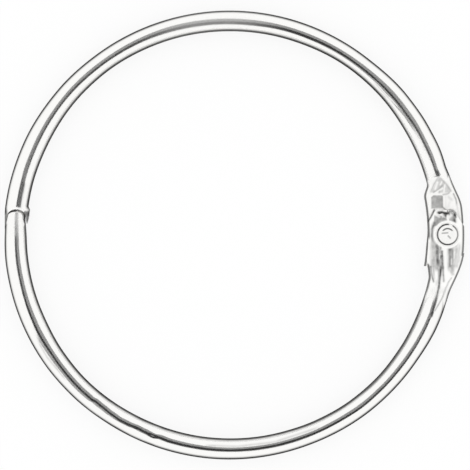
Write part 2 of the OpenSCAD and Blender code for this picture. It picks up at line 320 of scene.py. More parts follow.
def cut(obj, outline, high):
    """Takes away what lies inside a plan outline, as high above as below the mid-plane."""
    count = len(outline)
    points = [(x * MM, y * MM, z * MM) for z in (-high, high) for x, y in outline]
    sides = [(i, (i + 1) % count, count + (i + 1) % count, count + i) for i in range(count)]
    caps = [tuple(range(count))[::-1], tuple(range(count, 2 * count))]
    mesh = bpy.data.meshes.new("cutter")
    mesh.from_pydata(points, [], sides + caps)
    face_outwards(mesh)
    cutter = linked("cutter", mesh)
    step = obj.modifiers.new("cut", "BOOLEAN")
    step.operation = "DIFFERENCE"
    step.solver = "EXACT"
    step.object = cutter
    bpy.context.view_layer.update()
    done = with_modifiers(obj)
    obj.modifiers.remove(step)
    paint_like(done, obj.data)
    obj.data = done
    bpy.data.objects.remove(cutter)


def smooth(obj, sharp=35):
    """Smooth shading, apart from edges sharper than an angle in degrees."""
    obj.data.polygons.foreach_set("use_smooth", [True] * len(obj.data.polygons))
    obj.data.set_sharp_from_angle(angle=math.radians(sharp))


class Wire:
    """A node's output. Python's operators on it add Math nodes."""

    def __init__(self, graph, socket):
        self.graph, self.socket = graph, socket

    def math(self, operation, a, b=0.0):
        return self.graph.node("ShaderNodeMath", {"operation": operation}, {0: a, 1: b})

    def __add__(self, other):
        return self.math("ADD", self, other)

    def __mul__(self, other):
        return self.math("MULTIPLY", self, other)

    def __sub__(self, other):
        return self.math("SUBTRACT", self, other)

    def __rsub__(self, other):
        return self.math("SUBTRACT", other, self)

    def __truediv__(self, other):
        return self.math("DIVIDE", self, other)

    def __rtruediv__(self, other):
        return self.math("DIVIDE", other, self)

    def __pow__(self, other):
        return self.math("POWER", self, other)

    __radd__ = __add__
    __rmul__ = __mul__

    def ease(self, low, high):
        """0 below low and 1 above high, with a smooth step between."""
        settings = {"interpolation_type": "SMOOTHSTEP"}
        return self.graph.node("ShaderNodeMapRange", settings, {0: self, 1: low, 2: high})


class Graph:
    """A node tree. Its one method adds a node: its settings first, then its inputs."""

    def __init__(self, tree):
        self.tree = tree

    def node(self, kind, settings=None, inputs=None, output=0):
        made = self.tree.nodes.new(kind)
        for key, value in (settings or {}).items():
            setattr(made, key, value)
        for key, value in (inputs or {}).items():
            if isinstance(value, Wire):
                self.tree.links.new(value.socket, made.inputs[key])
            else:
                made.inputs[key].default_value = value
        if made.outputs:
            return Wire(self, made.outputs[output])
        return None


def empty_material(name):
    """A material without nodes, and its graph."""
    mat = bpy.data.materials.new(name)
    mat.use_nodes = True
    mat.node_tree.nodes.clear()
    return mat, Graph(mat.node_tree)


# The plate reflects little at grazing angles, and its grain is this high, in metres
plate_tint = (0.02, 0.02, 0.02, 1)
grain_h = 0.00002


def nickel(name, colour, gloss, seed, streaks):
    """Bright nickel plate on sheet steel, with fine buffing lines along the tube. Marks on the
    pressed plates break up into streaks."""
    mat, g = empty_material(name)

    def painted(label, output=2):
        return g.node("ShaderNodeAttribute", {"attribute_name": label}, output=output)

    def cloud(scale, detail, vector, distortion=0.0):
        inputs = {"Vector": vector, "Scale": scale, "Detail": detail, "Distortion": distortion}
        return g.node("ShaderNodeTexNoise", {"noise_dimensions": "3D"}, inputs)

    place = g.node("ShaderNodeTexCoord", output=3)
    place = g.node("ShaderNodeMapping", {}, {"Vector": place, "Location": (seed, seed, 0)})
    grain = g.node("ShaderNodeMapping", {}, {"Vector": painted("grain", 1), "Scale": (0.25, 6, 6)})
    painted_edge_reflection, dark, dull, haze = painted("painted_edge_reflection"), painted("dark"), painted("dull"), painted("haze")

    stain = cloud(900, 3, place, 0.4)
    fine = cloud(2600, 2, place)
    lines = cloud(3, 3, grain)
    worn = stain.ease(0.35, 0.7)
    wiped = g.node("ShaderNodeMapping", {}, {"Vector": place, "Scale": (2600, 620, 600)})
    wiped = cloud(1, 3, wiped, 0.5).ease(0.36, 0.62)

    dark = dark * (0.8 + 0.24 * worn) * (1 - streaks * dull * wiped * (1.1 - dark))
    painted_edge_reflection = painted_edge_reflection * (0.86 + 0.3 * stain)
    painted_edge_reflection = painted_edge_reflection.math("MINIMUM", painted_edge_reflection, 1.0)
    # The colour is darkened by the painted dark edge reflection, and by the marks, the darkness of
    # some of which is painted shade and of others painted reflection
    tone = (1 - 0.8 * painted_edge_reflection) * (1 - 0.9 * dark) * (1 - 0.03 * lines) * (1 + 0.04 * dull)
    base = g.node("ShaderNodeVectorMath", {"operation": "SCALE"}, {0: colour, 3: tone})
    rough = gloss + 0.05 * lines + 0.5 * dull + 0.15 * haze + 0.1 * painted_edge_reflection + 0.15 * dark + 0.06 * worn
    relief = 0.35 * lines + dull * (0.8 * stain + 0.5 * fine)
    bump = g.node("ShaderNodeBump", {}, {"Strength": 0.25, "Distance": grain_h, "Height": relief})
    metal = 1 - 0.8 * dull - 0.4 * haze
    shader = g.node("ShaderNodeBsdfPrincipled", {}, {
        "Base Color": base, "Metallic": metal, "Roughness": rough, "Normal": bump,
        "Specular Tint": plate_tint,
    })
    g.node("ShaderNodeOutputMaterial", {}, {"Surface": shader})
    return mat


plate_colour = (0.955, 0.95, 0.935)
plate_gloss = 0.06

# The buffed tube is a little lower than the rolled one
height = tube_r - 0.002

# The rounding that the shears leave on a free edge: its width and its drop
edge_round = 0.3
edge_drop = 0.12

# How far the bent tube reaches outwards and inwards from its centre line, by angle
upper_out = [(12, 2.1), (17, 2.3), (22, 2.4), (28, 2.28), (38, 2.12), (52, 1.78), (126, 1.78)]
upper_out += [(140, 1.92), (156, 2.1), (172, 2.2), (178, 1.98)]
upper_in = [(14, 2.03), (30, 2.06), (44, 1.92), (56, 1.9), (72, 2.05), (90, 2.1), (110, 2.06)]
upper_in += [(125, 2.0), (136, 2.04), (155, 2.2), (166, 2.12)]
# How far the tube's crest lies outwards of its middle, and how hazy the plate is, by angle
upper_crest = [(14, 0.3), (18, 0.16), (24, 0.08), (30, 0.11), (36, 0), (42, -0.09), (58, -0.12)]
upper_crest += [(66, -0.08), (74, -0.03), (86, -0.08), (96, -0.01), (108, 0.06), (124, -0.06)]
upper_crest += [(140, -0.01), (162, -0.12), (168, -0.24)]
upper_haze = [(15.5, 0), (18, 0.15), (34, 0.1), (42, 0), (72, 0), (90, 0.5), (100, 0.5)]
upper_haze += [(118, 0.08)]
# How square the tube is across: 2 is oval
upper_power = [(14, 1.86), (26, 1.9), (36, 2), (74, 2), (84, 2.12), (100, 2.1), (114, 2)]

tongue_root = tongue_flat + tongue_ramp
mouth_rim = rim_angle / deg_per_mm
mouth_join = mouth_rim - mouth_len


def fork_side(s):
    """How far the fork's outer side lies outwards at s."""
    return mix(tube_r, fork_out, 1 - ease(bulge_near, bulge_far, -s))


def tongue_side(s):
    """The same for the tongue. Below the rivet it keeps its play from the fork's fold."""
    if s < 0:
        return fork_side(s) - sheet_t - fold_play
    spread = tongue_spread * ease(0.8, 2.5, s)
    return mix(tube_r, tongue_out + spread, 1 - ease(tongue_bulge_near, tongue_bulge_far, s))


def tube_section(s, crest, haze, power):
    """A section of the plain tube at s, to which out and inner are added: its reaches from the
    centre line to both sides. high is the same upwards, power tells how square it is, and cap
    cuts off its outer side. flat presses it into plates, and open parts them along the inner
    side. lean and bow move its points along the tube, and shift moves its crest outwards. The
    rest is paint: the haze, and for each side how strong the painted dark edge reflection is, how
    far it spreads and how far its edge is moved inwards."""
    angle = s * deg_per_mm
    return dict(
        s=s, high=height, cap=uncapped, flat=0, open=0, lean=0, bow=0,
        shift=along(crest, angle), power=along(power, angle), haze=along(haze, angle),
        film_out=1.0, film_in=1.05, spread_out=0, spread_in=0, cover_out=0, cover_in=0,
    )


def upper_section(s):
    """The upper half's section at s: in the mouth, the tube or the tongue."""
    angle = s * deg_per_mm
    plain = tube_section(s, upper_crest, upper_haze, upper_power)
    if s > mouth_join:
        widened = ease(mouth_join, mouth_rim - scoop_depth, s)
        lip = ease(mouth_rim - scoop_depth - 0.3, mouth_rim - scoop_depth + 0.5, s)
        lip = lip * (1 - 0.8 * ease(mouth_rim - 1.1, mouth_rim + 0.2, s))
        inner = mix(along(upper_in, angle), mouth_w / 2 + snap_in, lip)
        return plain | dict(
            out=along(upper_out, angle),
            inner=inner,
            lean=slant * widened,
            film_in=mix(plain["film_in"], 0.45, lip),
            spread_out=ease(mouth_rim - 4, mouth_rim - 2.5, s),
        )
    press = 1 - np.clip((s - tongue_flat) / tongue_ramp, 0, 1)
    swell = tongue_side(s) - tube_r
    pressed = 1 - ease(tongue_flat - 0.9, tongue_root - 0.8, s)
    inner = mix(along(upper_in, angle), tongue_in, pressed)
    return plain | dict(
        out=mix(along(upper_out, angle), tube_r, press) + swell,
        inner=inner + tail_flare * ease(-1, 2.5, -s),
        high=mix(height, tongue_h, press),
        flat=ease(0, 0.7, press),
        open=ease(0.3, 1, press),
        lean=-math.tan(math.radians(angle)) * ease(0, 1, press),
        shift=plain["shift"] * (1 - press),
    )


# A mark is a path that a tool scored, or a patch that it pressed. The darkness of some marks is
# painted shade, and of others painted reflection. It has a width, or for a patch the width of its
# soft border, a depth and a darkness, and covers the marks listed before it.
def hinge_mark(path, width, depth, dark, patch=False):
    """A mark near the hinge, whose plan points are measured from the rivet."""
    return [(rivet_x + x, y) for x, y in path], width, depth, dark, patch


def tube_mark(path, width, depth, dark, patch=False):
    """A mark along the tube, through (angle, distance outwards) pairs."""
    return [on_ring(angle, u) for angle, u in path], width, depth, dark, patch


def marked(x, y, marks):
    """How deep and how dark the marks leave each plan point (x, y)."""
    sunk, dark = np.zeros(x.shape), np.zeros(x.shape)
    for path, width, depth, tone, patch in marks:
        if patch:
            near = ease(0, width, in_patch(x, y, path))
        else:
            near = np.exp(-((from_path(x, y, path) / width * 2) ** 2))
        sunk = sunk + depth * near
        dark = mix(dark, tone, near)
    return sunk, dark


upper_marks = [
    # The wedge where the tube was squeezed flat, with bright streaks across it
    hinge_mark(
        [(-3.25, 7.7), (0.2, 7.7), (1.0, 8.0), (-0.5, 10.1), (-1.6, 10.9)], 0.25, 0.03, 0.42, True
    ),
    hinge_mark([(-1.8, 10.6), (-2.5, 9.4), (-3.1, 8.0)], 0.35, 0.05, 0.44),
    hinge_mark([(-1.3, 10.4), (-0.2, 9.3), (0.6, 8.2)], 0.4, 0.05, 0.5),
    hinge_mark([(-1.9, 9.7), (-2.3, 8.5)], 0.4, 0.04, 0),
    hinge_mark([(-1.1, 9.8), (-1.35, 9.3)], 0.3, 0.02, 0),
    hinge_mark([(-0.9, 9.2), (-1.6, 8.5), (-2.6, 7.85)], 0.26, 0.04, 0.68),
    hinge_mark([(-0.5, 9.2), (-0.65, 8.0)], 0.34, 0.03, 0),
    hinge_mark([(-0.95, 8.6), (-2.5, 7.55)], 0.42, 0.04, 0),
    hinge_mark([(-1.45, 8.05), (-1.5, 7.85)], 0.34, 0.03, 0.59),
    hinge_mark([(-0.3, 8.6), (-0.25, 8.2)], 0.4, 0.02, 0.39),
    hinge_mark([(-0.8, 7.45), (0.05, 7.6), (0.35, 7.85)], 0.3, 0.04, 0.65),
    # Wipe marks beside the clamp's flat
    hinge_mark([(-0.35, 7.1), (-0.3, 5.1)], 0.3, 0.01, 0.18),
    hinge_mark([(0.2, 7.0), (0.75, 6.5)], 0.6, 0.01, 0.26),
    hinge_mark([(0.4, 6.0), (0.1, 5.1)], 0.5, 0.01, 0.13),
    # Painted reflection beyond the wedge's tip: a dark blob where the reflected dark line along the
    # top of the tube ends
    hinge_mark([(-1.75, 11.0), (-1.95, 11.7)], 0.5, 0.01, 0.9),
    # The line that the press left along the tongue's outer edge
    hinge_mark([(1.15, 7.6), (1.6, 6.5), (1.75, 5.6)], 0.3, 0.04, 0.72),
    hinge_mark([(1.75, 5.6), (2.2, 3.2), (2.3, 2.2)], 0.3, 0.02, 0.26),
    # The flat that the clamp pressed beside the cheeks
    hinge_mark(
        [(-3.1, 4.75), (-0.8, 4.8), (-0.8, 7.25), (-2.8, 7.3), (-3.15, 7.0)], 0.22, 0.03, 0.68, True
    ),
    hinge_mark([(-0.98, 7.1), (-0.94, 5.1)], 0.26, 0.01, 0.86),
    hinge_mark([(-2.6, 7.2), (-1.1, 7.2)], 0.2, 0.01, 0.8),
    hinge_mark([(-0.85, 5.05), (-0.2, 4.5)], 0.28, 0.03, 0.8),
    # Painted shadow that the cheek's end casts on the tongue, along its edge
    hinge_mark([(-3.6, 2.4), (-3.1, 3.2), (-2.45, 4.6)], 0.34, 0.02, 0.98),
    hinge_mark([(0.1, 4.4), (0.5, 4.6), (1.0, 4.5), (1.5, 4.0), (1.7, 3.3)], 0.34, 0.02, 0.95),
    # Shade seen through the slit in the cheek
    hinge_mark([(-1.8, 4.0), (0.2, 3.9)], 0.9, 0, 1.02),
    # A scuff on the inner side of the bend
    tube_mark([(45.5, -0.95), (42.5, -1.05), (39.5, -0.9), (36, -0.68)], 0.26, 0.04, 0.3),
    tube_mark([(46, -0.62), (40, -0.68)], 0.16, 0.02, 0),
    # Painted reflection beside the mouth: a grey band along the inner side of the reflected dark
    # line on top of the tube
    tube_mark([(172.4, -0.45), (166.5, -0.5)], 0.7, 0.01, 0.55),
]


# The plates are rumpled: half the height between hump and hollow, and the size of a hump
rumple_h = 0.02
rumple_size = 0.9


def upper_press(x, y, sec):
    """How deep and how dull the tools left the upper half at plan points, and how dark it is
    painted, with painted shade and painted reflection among the marks.
    """
    sunk, dark = marked(x, y, upper_marks)
    plate = np.where(x > 0, 1 - ease(tongue_flat + 0.8, tongue_root + 1.0, y), 0)
    sunk = sunk + plate * rumple_h * (1 + rumple(x, y, rumple_size, 1))
    # The mouth's scooped rim is left bright, and its inner lip is darkened with painted shade,
    # beside the gap round the nose
    turn = math.radians(rim_angle)
    away = x * math.cos(turn) + y * math.sin(turn)
    back = y * math.cos(turn) - x * math.sin(turn)
    from_arc = np.hypot(away - ring_r + snap_in, back - scoop_r + scoop_depth) - scoop_r
    rim = np.where(x < 0, ease(0.5, 0.25, from_arc) * (back < 0), 0)
    lip = np.where(x < 0, ease(-3.1, -2.7, back) * ease(-1.5, -1.62, away - ring_r), 0)
    return sunk, np.maximum(dark, 0.95 * lip), np.maximum(plate, 1.2 * rim)


upper_half = rolled_sheet(
    "upper_half",
    [
        upper_section(s)
        for s in steps(-tail_len - 1, 14, press_step)
        + steps(14.8, mouth_join - 1, tube_step)
        + steps(mouth_join - 0.8, mouth_rim, press_step)
    ],
    upper_press,
)

# The tail's end, with its outer corner rounded. The tongue has no bore in this mesh, so the
# rivet's shank crosses its walls between the cheeks. With the ring fully open, the tail's end
# crosses the edge of the fork's fold by up to 0.13.
tail_angle = -tail_len * deg_per_mm
corner_x = on_ring(tail_angle, tongue_side(-tail_len))[0] - tail_r
cut(
    upper_half,
    [(ring_r - past, -tail_len - 4), (ring_r + past, -tail_len - 4)]
    + [(ring_r + past, tail_r - tail_len)]
    + arc((corner_x, tail_r - tail_len), tail_r, 0, -90)
    + [(ring_r - past, -tail_len)],
    tail_cut_h,
)

# The scoops in the front and back of the mouth
bottom = scoop_r - scoop_depth
half_angle = math.degrees(math.asin(scoop_w / 2 / scoop_r))
round_end = bottom - math.sqrt(scoop_r**2 - scoop_w**2 / 4)
scoop_slope = (scoop_rim_w - scoop_w) / -round_end / 2
turn = math.radians(rim_angle)
cut(
    upper_half,
    [
        (
            (ring_r - snap_in + x) * math.cos(turn) - y * math.sin(turn),
            (ring_r - snap_in + x) * math.sin(turn) + y * math.cos(turn),
        )
        for x, y in [(scoop_rim_w / 2 + scoop_slope * tube_r, tube_r)]
        + arc((0, bottom), scoop_r, -90 + half_angle, -90 - half_angle)
        + [(-scoop_rim_w / 2 - scoop_slope * tube_r, tube_r)]
    ],
    scoop_cut_h,
)
smooth(upper_half)
upper_half.data.materials.clear()
upper_half.data.materials.append(nickel("upper_half", plate_colour, plate_gloss, 0.0, 0.12))
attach(upper_half, "swinging_half")
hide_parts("upper_half")

# ---------------------------------------------------------------------------------------------
# Lower half ring. The same rolled tube, with a fork of two pressed cheeks at the hinge, joined
# by a fold along the outside, and a nose swaged down to push into the mouth. The press left
# creases down the cheek, a raised seat round the rivet, and a crumpled end with a torn slit.
# ---------------------------------------------------------------------------------------------
fork_flat = 7
fork_ramp = 7.6
cheek_in = 2.97
lobe_r = 1
inner_lobe = (-1.6, 3.7)
outer_lobe = (0.6, 3.5)
cheek_shoulder = 2.3
fold_shoulder = 1.2
slit_w = 0.36
slit_len = 1.6
slit_up = 3.95
slit_out = 0
fold_cut = 3.5
seat_r = 2.55
seat_h = 0.1
nose_len = 8.6
neck_len = 1.2
tip_r = 1.05
neck_play = 0.22
shoulder_len = 2.4
step_gap = 0.1
step_len = 0.5
scoop_play = 0.04

lower_rim = (rim_angle - 360) / deg_per_mm
neck_r = mouth_w / 2 - sheet_t - neck_play
neck_h = tube_r - sheet_t - neck_play
neck_top = lower_rim - scoop_depth - neck_len
foot = lower_rim - scoop_depth + step_gap
nose_tip = lower_rim - nose_len
nose_end = lower_rim + shoulder_len + 3
cheek_reach = inner_lobe[1] + lobe_r
beyond_lobes = 9
cheek_cut_h = 3

# Distances between sections at the nose's neck, and along its tip and the tube's uneven stretch
neck_step = 0.12
uneven_step = 0.3

lower_out = [(-182.5, 1.95), (-172, 2.14), (-155, 2.2), (-145, 2.2), (-135, 2.12), (-122, 1.98)]
lower_out += [(-72, 1.98), (-50, 2.14), (-35, 2.18), (-24, 2.4), (-17, 2.4), (-13, 2.15)]
lower_in = [(-165, 2.15), (-155, 2.2), (-145, 2.08), (-135, 1.98), (-115, 2.05), (-95, 1.98)]
lower_in += [(-75, 1.93), (-65, 1.84), (-55, 1.75), (-44, 1.76), (-34, 1.88), (-22, 2.0)]
lower_crest = [(-178, -0.17), (-167, -0.19), (-158, -0.11), (-154, -0.06), (-146, -0.24)]
lower_crest += [(-142, -0.2), (-134, -0.13)]
lower_crest += [(-130.2, -0.14), (-128.8, -0.3), (-126.6, -0.22), (-123.5, -0.06), (-121, 0.05)]
lower_crest += [(-118.6, -0.01), (-115.5, -0.2), (-113.2, -0.12), (-110.7, 0.1), (-109, -0.15)]
lower_crest += [(-106, -0.02), (-88, 0.04), (-66, 0.03), (-58, 0.01), (-52, 0.12), (-46, 0.07)]
lower_crest += [(-40, 0.065), (-34, 0.13), (-28, 0.135), (-20, 0.1)]
lower_haze = [(-184.5, 0.9), (-181, 0.6), (-178, 0.1), (-150, 0), (-20, 0), (-15.5, 0.7), (-13, 1)]
lower_power = [(-152, 2), (-146, 1.9), (-100, 1.88), (-70, 1.9), (-55, 1.94), (-36, 1.96)]
lower_power += [(-20, 1.84)]

# How far the window in the fold moves the painted dark edge inwards
window_in = 0.19


def lower_section(s):
    """The lower half's section at s: in the nose, the tube or the fork."""
    angle = s * deg_per_mm
    plain = tube_section(s, lower_crest, lower_haze, lower_power)
    plain.update(film_in=1 + 0.5 * ease(-74, -60, angle) * ease(-45, -52, angle))
    plain.update(spread_in=0.55 * ease(-52, -46, angle) * ease(-17, -26, angle))
    if s > nose_end:
        press = 1 - np.clip((-s - fork_flat) / fork_ramp, 0, 1)
        press = press - 0.1 * math.sin(2 * math.pi * press)
        return plain | dict(
            out=mix(along(lower_out, angle), tube_r, press) + fork_side(s) - tube_r,
            inner=mix(along(lower_in, angle), cheek_in, 1 - ease(4.6, fork_flat + 2, -s)),
            high=mix(height, fork_h, press),
            flat=ease(0, 0.7, press),
            open=ease(0.6, 1, press),
            shift=plain["shift"] * (1 - press),
            cover_out=window_in * ease(-fold_cut - 0.3, -fold_cut, s),
            cover_in=0.1 * ease(-6, -5.5, s),
            film_in=mix(plain["film_in"], 0, ease(-6.2, -5.6, s) * ease(-0.2, -1.4, s)),
        )
    swage = 1 - ease(foot, lower_rim + shoulder_len, s)
    step = 1 - ease(foot, foot + step_len, s)
    point = (max(0, neck_top - s) / (neck_top - nose_tip)) ** 2
    bend = ease(neck_top, foot, s) * (1 - ease(foot + step_len, lower_rim, s))
    bow = bend / (2 * scoop_r)
    tube_out, tube_in = along(lower_out, angle), along(lower_in, angle)
    out = mix(mix(tube_out, neck_r - snap_in, step), tip_r - snap_in, point)
    inner = mix(mix(tube_in, neck_r + snap_in, swage), tip_r + snap_in, point)
    high = mix(mix(height, neck_h, step), tip_r, point)
    # On its outer side the nose fills the scoop at its full height. It crosses the mouth's wall
    # by up to 0.48 when the ring is shut.
    from_rim = s + bow * scoop_w**2 / 4 - lower_rim
    scoop_side = scoop_rim_w / 2 + scoop_slope * min(0, from_rim) - snap_in - scoop_play
    return plain | dict(
        out=out, inner=inner, high=high, bow=bow,
        cap=mix(scoop_side, 2.3, ease(0, 0.5, s - lower_rim)),
        spread_in=-1.2 * ease(0.2, -0.8, s - lower_rim),
        film_out=max(1 - ease(0.5, 0.9, s - foot), ease(-0.7, -0.2, s - lower_rim)),
    )


lower_marks = [
    # Grey patches above the rivet, over the whole cheek's end
    hinge_mark([(-2.75, 1.4), (0.4, 1.6), (-0.2, 3.6), (-2.6, 3.75)], 0.3, 0.02, 0.8, True),
    hinge_mark([(0.1, 2.0), (1.7, 1.8), (1.6, 3.9), (0.6, 4.4), (0.1, 4.1)], 0.3, 0.02, 0.78, True),
    hinge_mark([(-2.2, 3.55), (-1.5, 3.3)], 0.3, 0.02, 0.2),
    hinge_mark([(-0.9, 3.35), (-0.5, 3.25)], 0.28, 0.02, 0.15),
    hinge_mark([(0.45, 3.95), (0.6, 3.7)], 0.3, 0.02, 0.15),
    hinge_mark([(1.25, 3.6), (1.35, 2.4)], 0.6, 0.03, 1),
    # The cheek's crumpled end: its leaning edge, the torn slit and the rolled lobe, pressed in and
    # darkened along their edges with painted shade
    hinge_mark([(-3.45, 2.7), (-3.1, 3.2), (-2.45, 4.6)], 0.34, 0.05, 0.98),
    hinge_mark([(-1.7, 4.1), (-1.0, 4.2), (-0.6, 3.95), (0.2, 3.95)], 0.6, 0.08, 1.15),
    hinge_mark([(-0.45, 3.8), (-0.35, 3.5)], 0.5, 0.05, 1.1),
    hinge_mark([(0.3, 3.2), (0.75, 3.6)], 0.5, 0.02, 0.2),
    hinge_mark([(0.1, 4.0), (0.4, 4.35), (0.95, 4.35), (1.35, 4.0), (1.55, 3.2)], 0.36, 0.05, 1.08),
    # Painted shade along the foot of the seat on its inner side, and a lighter grey line on its
    # outer side
    hinge_mark(
        [(-2.5, 2.1), (-2.85, 1.0), (-2.92, -0.3), (-2.7, -1.3), (-2.1, -2.2)], 0.62, 0.03, 0.98
    ),
    hinge_mark([(0.8, -2.6), (1.5, -2.2), (2.0, -1.5)], 0.36, 0.02, 0.66),
    # Streaks below the rivet: shallow creases, darkened with painted shade
    hinge_mark([(-2.7, -1.8), (-2.65, -5.9)], 1.2, 0.02, 0.58),
    hinge_mark([(-1.8, -2.2), (-1.75, -6.2)], 1.15, 0.04, 0.85),
    hinge_mark([(-1.95, -2.6), (-1.95, -5.6)], 0.34, 0.02, 0.98),
    hinge_mark([(-1.5, -3.6), (-1.5, -4.6)], 0.2, 0.01, 0.3),
    hinge_mark([(-1.22, -2.1), (-1.24, -2.7)], 0.22, 0.02, 1),
    hinge_mark([(-1.24, -3.0), (-1.24, -3.5)], 0.22, 0.02, 0.95),
    hinge_mark([(-1.26, -3.9), (-1.26, -4.4)], 0.22, 0.02, 0.95),
    hinge_mark([(-1.0, -4.2), (-0.95, -6.2)], 0.56, 0.04, 0.9),
    hinge_mark([(-1.0, -3.1), (-1.0, -4.0)], 0.4, 0.06, 1.12),
    hinge_mark([(2.2, -2.0), (2.15, -5.0)], 0.6, 0.01, 0.36),
    hinge_mark([(1.6, -2.7), (1.5, -5.8)], 1.0, 0.02, 0.52),
    hinge_mark([(1.0, -2.8), (0.95, -6.8)], 0.6, 0.02, 0.66),
    hinge_mark([(0.45, -2.4), (0.42, -6.2)], 0.85, 0.04, 0.92),
    hinge_mark([(1.3, -3.2), (1.25, -4.4)], 0.22, 0.01, 0.15),
    hinge_mark([(0.75, -4.6), (0.7, -5.6)], 0.22, 0.01, 0.3),
    # Creases that run out into the tube, darkened with painted shade
    hinge_mark([(-3.15, -6.0), (-2.95, -7.5), (-2.6, -8.8)], 0.38, 0.04, 0.9),
    hinge_mark([(-2.65, -6.2), (-2.5, -8.2)], 0.44, 0.02, 0.5),
    hinge_mark([(-2.1, -8.7), (-2.1, -9.4)], 0.4, 0.01, 0.28),
    hinge_mark([(-1.6, -6.2), (-1.65, -9.0)], 0.44, 0.02, 0.6),
    hinge_mark([(-1.25, -6.0), (-1.3, -7.5), (-1.5, -8.6), (-1.65, -9.9)], 0.46, 0.05, 1.05),
    # Painted reflection: the middle crease's line runs on into the dark line reflected along the
    # top of the tube
    hinge_mark([(-1.65, -9.9), (-2.2, -12.2), (-2.6, -13.4), (-3.0, -15.2)], 0.4, 0.02, 1),
    hinge_mark([(-0.85, -6.0), (-0.8, -7.4), (-0.7, -8.7)], 0.4, 0.03, 0.85),
    hinge_mark([(0.35, -6.4), (1.0, -7.4)], 0.6, 0.02, 0.45),
    hinge_mark(
        [(0.7, -8.1), (0.1, -9.0), (-0.5, -10.5), (-1.1, -12.0), (-2.4, -14.2)], 0.28, 0.04, 0.6
    ),
    # Marks of the rollers: a dent and a grey line
    tube_mark([(-111.6, 0.02), (-110.2, 0.06)], 0.5, 0.05, 0),
    tube_mark([(-150, 0.85), (-146, 0.98), (-139, 0.75)], 0.34, 0.02, 0.3),
    # Painted reflection: a faint grey band beside the reflected dark line along the top of the tube
    tube_mark([(-96, -0.5), (-88, -0.52), (-78, -0.45), (-66, -0.48)], 0.42, 0.01, 0.3),
]


def lower_press(x, y, sec):
    """How deep and how dull the tools left the lower half at plan points, and how dark it is
    painted, with painted shade and painted reflection among the marks.
    """
    sunk, dark = marked(x, y, lower_marks)
    r = np.hypot(x - rivet_x, y)
    plate = np.where(x > 0, 1 - ease(fork_flat + 1, fork_flat + 6, -y), 0)
    sunk = sunk + plate * rumple_h * (1 + rumple(x, y, rumple_size, 5))
    # The seat is coined up round the rivet's head, with a sharp foot
    seat = np.where(x > 0, ease(seat_r + 0.2, seat_r - 0.1, r), 0)
    sunk = mix(sunk, -seat_h, seat)
    dark = dark * (1 - seat)
    return sunk, dark, np.maximum(plate, 1.2 * seat)


lower_half = rolled_sheet(
    "lower_half",
    [
        lower_section(s)
        for s in steps(nose_tip, neck_top, uneven_step)
        + steps(neck_top + 0.1, nose_end, neck_step)
        + steps(nose_end + 0.8, -92, tube_step)
        + steps(-91.6, -73, uneven_step)
        + steps(-72.2, -18, tube_step)
        + steps(-17.5, cheek_reach + 1, press_step)
    ],
    lower_press,
)

# The cheeks' ends, each with two lobes
cut(
    lower_half,
    [
        (rivet_x + x, y)
        for x, y in [(-past, fold_shoulder), (-cheek_in - 0.62, fold_shoulder)]
        + [(-cheek_in - 0.6, cheek_shoulder)]
        + arc(inner_lobe, lobe_r, 160, 94)
        + arc(outer_lobe, lobe_r, 94, 40)
        + [(fork_out - 0.6, fold_shoulder), (past, fold_shoulder)]
        + [(past, beyond_lobes), (-past, beyond_lobes)]
    ],
    cheek_cut_h,
)
# The slit under the lobes, open at the gap between them. It is wider at both torn ends than at
# its waist.
slit_end = slit_out - slit_len + 0.1
slit_end_r = slit_w * 0.7
slit_waist_x = -0.85
slit_waist_low = 4.0
slit_waist_high = 4.22
cut(
    lower_half,
    [
        (rivet_x + x, y)
        for x, y in arc((slit_end, slit_up + 0.1), slit_end_r, 75, 285, 8)
        + [(slit_waist_x, slit_waist_low)]
        + arc((slit_out - 0.2, slit_up - 0.05), slit_end_r, -120, -10, 8)
        + [(slit_out + slit_w / 4, beyond_lobes), (slit_out - slit_w / 4, beyond_lobes)]
        + [(slit_out - slit_w / 4, slit_up + slit_w / 2), (slit_waist_x, slit_waist_high)]
    ],
    cheek_cut_h,
)
# The window in the fold, beside the rivet
cut(
    lower_half,
    [(rivet_x, -fold_cut), (rivet_x + past, -fold_cut)]
    + [(rivet_x + past, beyond_lobes), (rivet_x, beyond_lobes)],
    fork_slot_h,
)
smooth(lower_half)
lower_half.data.materials.clear()
lower_half.data.materials.append(nickel("lower_half", plate_colour, plate_gloss, 0.02, 0.42))
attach(lower_half, "fixed_half")
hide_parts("lower_half")

# ---------------------------------------------------------------------------------------------
# Hinge rivet. Turned steel, nickel plated, and set by a punch on both sides, which leaves an
# uneven crater in each head. It grips the two cheeks, and the tongue turns on its shank.
# ---------------------------------------------------------------------------------------------
rivet_tree = bpy.data.node_groups.new("rivet", "GeometryNodeTree")
rivet_sizes = {
    "Shank radius": 1.2,
    "Head radius": 2.0,
    "Head height": 0.52,
    "Seat": fork_h + seat_h,
    "Squareness": 3.4,
    "Crater radius": 1.25,
    "Crater depth": 0.2,
}
rivet_tree.interface.new_socket("Geometry", in_out="OUTPUT", socket_type="NodeSocketGeometry")
for label in rivet_sizes:
    rivet_tree.interface.new_socket(label, in_out="INPUT", socket_type="NodeSocketFloat")
rivet_tree.interface.new_socket("Material", in_out="INPUT", socket_type="NodeSocketMaterial")
g = Graph(rivet_tree)
group_in = rivet_tree.nodes.new("NodeGroupInput")
size = {label: Wire(g, group_in.outputs[label]) for label in rivet_sizes}

